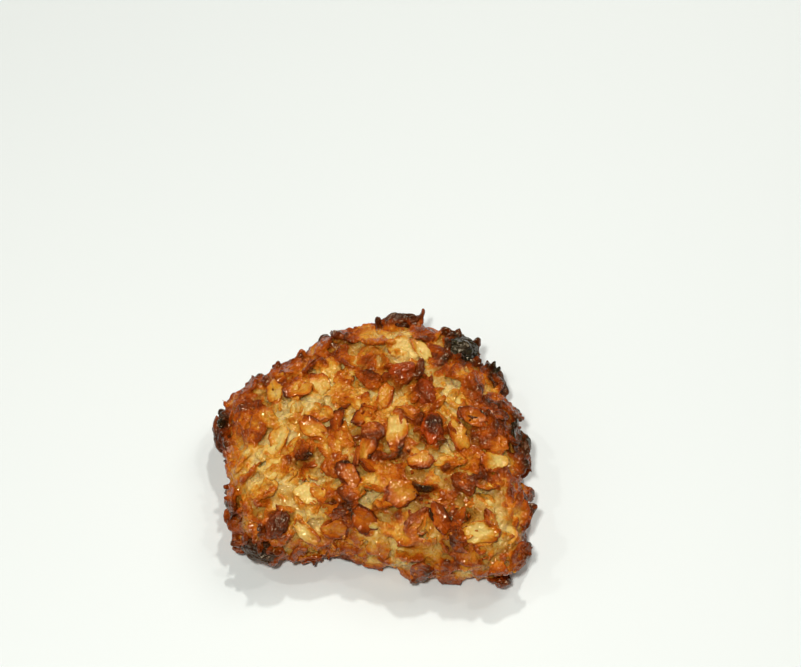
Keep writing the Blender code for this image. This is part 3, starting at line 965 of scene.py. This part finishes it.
class Workshop:
    """Makes one material's nodes."""

    def __init__(self, name):
        self.material = bpy.data.materials.new(name)
        self.material.use_nodes = True
        self.tree = self.material.node_tree
        self.shader = self.tree.nodes["Principled BSDF"]

    def node(self, kind, settings=(), inputs=(), out=0):
        """Adds a node with its settings, then joins its sockets; a ramp's stops are a setting too."""
        made = self.tree.nodes.new(kind)
        for key, value in dict(settings).items():
            if key == "stops":
                self.set_stops(made.color_ramp.elements, value)
            else:
                setattr(made, key, value)
        items = inputs.items() if isinstance(inputs, dict) else enumerate(inputs)
        for key, value in items:
            self.join(made.inputs[key], value)
        return Value(self, made.outputs[out])

    def join(self, socket, value):
        if isinstance(value, Value):
            self.tree.links.new(value.socket, socket)
        else:
            socket.default_value = value

    def set_stops(self, points, stops):
        while len(points) < len(stops):
            points.new(0.5)
        for point, (place, rgb) in zip(points, stops):
            point.position = place
            point.color = (*linear(rgb), 1.0)

    def attribute(self, name, vector=False):
        return self.node("ShaderNodeAttribute", {"attribute_name": name}, out=1 if vector else 2)

    def places(self):
        """The point's place in the object, in metres."""
        return self.node("ShaderNodeTexCoord", out=3)

    def grit(self, where, scale, detail=3.0, rough=0.55):
        """Noise from 0 to 1."""
        inputs = {"Vector": where, "Scale": scale, "Detail": detail, "Roughness": rough}
        return self.node("ShaderNodeTexNoise", {}, inputs)

    def stretched(self, where, by):
        return self.node("ShaderNodeVectorMath", {"operation": "MULTIPLY"}, (where, by))

    def ramp(self, value, stops):
        return self.node("ShaderNodeValToRGB", {"stops": stops}, (value,))

    def colour(self, given):
        return given if isinstance(given, Value) else (*linear(given), 1.0)

    def blend(self, share, one, other):
        """One colour where share is 0 and the other where it is 1."""
        inputs = {0: share, 6: self.colour(one), 7: self.colour(other)}
        return self.node("ShaderNodeMix", {"data_type": "RGBA"}, inputs, out=2)

    def bump(self, height, strength, distance):
        inputs = {"Strength": strength, "Distance": distance, "Height": height}
        return self.node("ShaderNodeBump", {}, inputs)

    def finish(self, **inputs):
        for key, value in inputs.items():
            self.join(self.shader.inputs[key.replace("_", " ")], value)
        return self.material


def crust_material(fused):
    """Browned oats under dried syrup; the fused crust also shows dough, cream where it is sheltered."""
    shop = Workshop("fused_oats" if fused else "browned_oats")
    place = shop.places()
    brown = shop.attribute("brown")
    blotch = shop.grit(place, 420.0, 3.0, 0.55)
    patch = shop.grit(place, 1100.0, 3.0, 0.6)
    fine = shop.grit(place, 2400.0, 3.0, 0.7)
    mottled = (blotch - 0.5) * 0.46 + (patch - 0.5) * 0.26 + (fine - 0.5) * 0.18
    tone = brown + mottled * shop.attribute("share").band(-1.4, 1.0)
    if fused:
        relief = shop.grit(place, 750.0, 0.0) * 0.9 + shop.grit(place, 1600.0, 0.0) * 0.8
    else:
        grain = shop.stretched(shop.attribute("grain", vector=True), (220.0, 1000.0, 500.0))
        fibre = shop.grit(grain, 1.0, 3.0, 0.6)
        tone = tone + (fibre - 0.5) * 0.22
        vein = shop.grit(grain, 1.0, 0.0)
        relief = shop.grit(place, 850.0, 0.0) * 0.7 + shop.grit(place, 1700.0, 0.0) * 0.3 + vein * 0.4
    colour = shop.ramp(tone, CRUST_STOPS)
    if fused:
        wet = shop.ramp(tone, DOUGH_STOPS)
        colour = shop.blend((shop.attribute("dough") + (blotch - 0.5) * 0.8).band(0.25, 0.75), colour, wet)
        speck = shop.grit(place, 900.0, 2.0, 0.7).band(0.72, 0.78)
        colour = shop.blend(speck * 0.5, colour, BURNT_SPECK)
    syrup = shop.grit(place, 330.0, 2.0, 0.5).band(0.3, 0.52)
    return shop.finish(
        Base_Color=colour,
        Roughness=0.26 - syrup * 0.14,
        Specular_IOR_Level=0.6,
        Specular_Tint=SYRUP_TINT,
        Subsurface_Weight=0.3,
        Subsurface_Radius=(1.0, 0.42, 0.12),
        Subsurface_Scale=1.3 * MM,
        Normal=shop.bump(relief, 1.0, 0.5 * MM),
    )


def raisin_material():
    """Raisin skin: almost black in the folds, red-brown on the ridges, shiny with syrup."""
    shop = Workshop("raisin_skin")
    place = shop.places()
    red = shop.attribute("red")
    fold = shop.attribute("fold")
    blotch = shop.grit(place, 500.0, 3.0, 0.6)
    ripe = shop.blend(red, BLACK_RIDGE, RED_RIDGE)
    dark = shop.blend(red, BLACK_FOLD, RED_FOLD)
    colour = shop.blend((fold * 0.7 + (blotch - 0.5) * 1.5 + 0.1).clamped(), ripe, dark)
    crinkle = shop.grit(place, 900.0, 0.0) * 0.9 + shop.grit(place, 1800.0, 0.0) * 0.3
    top = shop.attribute("burnt") + (blotch - 0.5) * 0.5
    colour = shop.blend(top.band(0.0, 1.1), colour, BURNT_SKIN)
    return shop.finish(
        Base_Color=colour,
        Roughness=0.14 + blotch * 0.14,
        Specular_IOR_Level=0.6,
        Specular_Tint=RAISIN_TINT,
        Subsurface_Weight=0.25,
        Subsurface_Radius=(1.0, 0.25, 0.08),
        Subsurface_Scale=1.2 * MM,
        Normal=shop.bump(crinkle, 1.0, 0.4 * MM),
    )


def floor_material():
    """Pale matt board with a hardly visible unevenness."""
    shop = Workshop("pale_floor")
    shade = shop.grit(shop.places(), 3.0, 2.0, 0.5)
    colour = shop.blend(shade, (232, 241, 250), (239, 247, 254))
    return shop.finish(Base_Color=colour, Roughness=0.6)


# Camera, light and floor

def aim(thing, target):
    thing.rotation_euler = (target - thing.location).to_track_quat("-Z", "Y").to_euler()


def add_camera():
    """Puts the camera at the photograph's angle, with the biscuit low and left in the frame."""
    lens = bpy.data.cameras.new("camera")
    lens.sensor_width = SENSOR_MM
    lens.lens = SENSOR_MM * CAMERA_AWAY * PIXELS_PER_MM / MM / PHOTO_WIDTH
    lens.dof.use_dof = False
    camera = bpy.data.objects.new("camera", lens)
    bpy.context.scene.collection.objects.link(camera)
    down = math.radians(LOOK_DOWN)
    toward = Vector((0, -math.cos(down), math.sin(down)))
    camera.location = SUBJECT + toward * CAMERA_AWAY
    upward = Vector((0, math.sin(down), math.cos(down)))
    right_px = PHOTO_WIDTH / 2 - SUBJECT_PIXEL[0]
    up_px = SUBJECT_PIXEL[1] - PHOTO_HEIGHT / 2
    aimed = SUBJECT + (Vector((1, 0, 0)) * right_px + upward * up_px) / PIXELS_PER_MM * MM
    aim(camera, aimed)
    bpy.context.scene.camera = camera


def add_lamp(name, place, size, watts, glossy):
    lamp = bpy.data.lights.new(name, "AREA")
    lamp.shape = "DISK"
    lamp.size = size
    lamp.energy = watts
    lamp.color = LAMP_COLOUR
    made = bpy.data.objects.new(name, lamp)
    made.location = place
    made.visible_glossy = glossy
    aim(made, SUBJECT)
    bpy.context.scene.collection.objects.link(made)


def add_floor():
    steps = np.linspace(-FLOOR_SIDE, FLOOR_SIDE, FLOOR_STEPS)
    x, y = np.meshgrid(steps, steps)
    points = np.stack((x.ravel(), y.ravel(), np.full(x.size, -FLOOR_LOW)), axis=1)
    cells = np.arange(FLOOR_STEPS - 1)
    corner = (cells[:, None] * FLOOR_STEPS + cells).ravel()
    faces = np.stack((corner, corner + 1, corner + FLOOR_STEPS + 1, corner + FLOOR_STEPS), axis=1)
    floor = mesh_object("floor", points, faces, {}, boxed=False)
    floor.data.materials.append(floor_material())


def add_studio():
    scene = bpy.context.scene
    scene.view_settings.view_transform = "Standard"
    world = bpy.data.worlds.new("studio")
    scene.world = world
    world.use_nodes = True
    background = world.node_tree.nodes["Background"]
    background.inputs["Color"].default_value = STUDIO_COLOUR
    background.inputs["Strength"].default_value = STUDIO_LIGHT
    for name, place, size, watts, glossy in LAMPS:
        add_lamp(name, Vector(place), size, watts, glossy)


# Putting the biscuit together


def off_shown(place, shown):
    """True if a bit at that place leaves every flake that stands out uncovered."""
    return all((place - flake.middle).length > SHOWN_COVER * flake.length for flake in shown)


def tree_of(*shapes):
    """One search tree over several shapes, each a pair of points and triangles."""
    points, faces, count = [], [], 0
    for some_points, some_faces in shapes:
        points.extend(some_points.tolist())
        faces.extend((some_faces + count).tolist())
        count += len(some_points)
    return BVHTree.FromPolygons(points, faces)


def own(piece, finish, node):
    """Gives a piece its finish, and puts it in the place of a solid."""
    piece.data.materials.append(finish)
    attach(piece, "root")
    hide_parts(node)


def main():
    add_camera()
    add_studio()
    add_floor()
    crust, fused, skin = crust_material(fused=False), crust_material(fused=True), raisin_material()
    shown = [flake for flake in shown_flakes() if clear_of_raisins(flake)]
    scattered = [flake for flake in scattered_flakes(shown) if clear_of_raisins(flake)]
    flakes = shown + scattered
    whole = FlakePattern(36, (0.3, 0.6, 0.8, 0.93, 1.0), (0.93, 0.6))
    small = FlakePattern(18, (0.45, 0.8, 0.8), (0.8, 0.4))
    core = crumb_core()
    core_tree = tree_of(core)
    oats = flake_cloud("rolled_oats", flakes, whole, 21, 0.5 * MM, 0.2, core_tree)
    tree = tree_of(core, arrays_of(oats.data))
    broad, narrow = (0.45, 0.85), (0.16, 0.36)
    bed = fragments(core_tree, 560, 33, (4.2, 7.6), broad, lean=0.16, roll=0.16, sunk=0.3)
    bits = fragments(tree, 520, 31, (2.4, 5.6), broad, lean=0.3, roll=0.4)
    slivers = fragments(tree, 620, 37, (2.6, 6.4), narrow, lean=0.12, roll=0.8, upward=0.4)
    bed = [bit for bit in bed if off_shown(bit.middle, shown)]
    bits = [bit for bit in bits if off_shown(bit.middle, shown)]
    slivers = [bit for bit in slivers if off_shown(bit.middle, shown)]
    knobs = [knob for knob in nuggets(tree) if off_shown(Vector(knob[0]), shown)]
    masses = crumb_mass(flakes, bed + bits + slivers, knobs, core_tree)
    bedded = flake_cloud("bedded_oats", bed, small, 24, 0.55 * MM, 0.14, core_tree)
    broken = flake_cloud("oat_fragments", bits + slivers, small, 22, 0.5 * MM, 0.16, core_tree)
    crumbs = loose_crumbs(tree, shown)
    under = flake_cloud("underside_oats", underside_flakes(), small, 23, 0.4 * MM, 0.08, core_tree)
    for piece in masses:
        own(piece, fused, "biscuit")
    for piece in (oats, bedded, broken, crumbs, under):
        own(piece, crust, "biscuit")
    for row in RAISINS:
        own(raisin_skin(row), skin, row[0])


main()
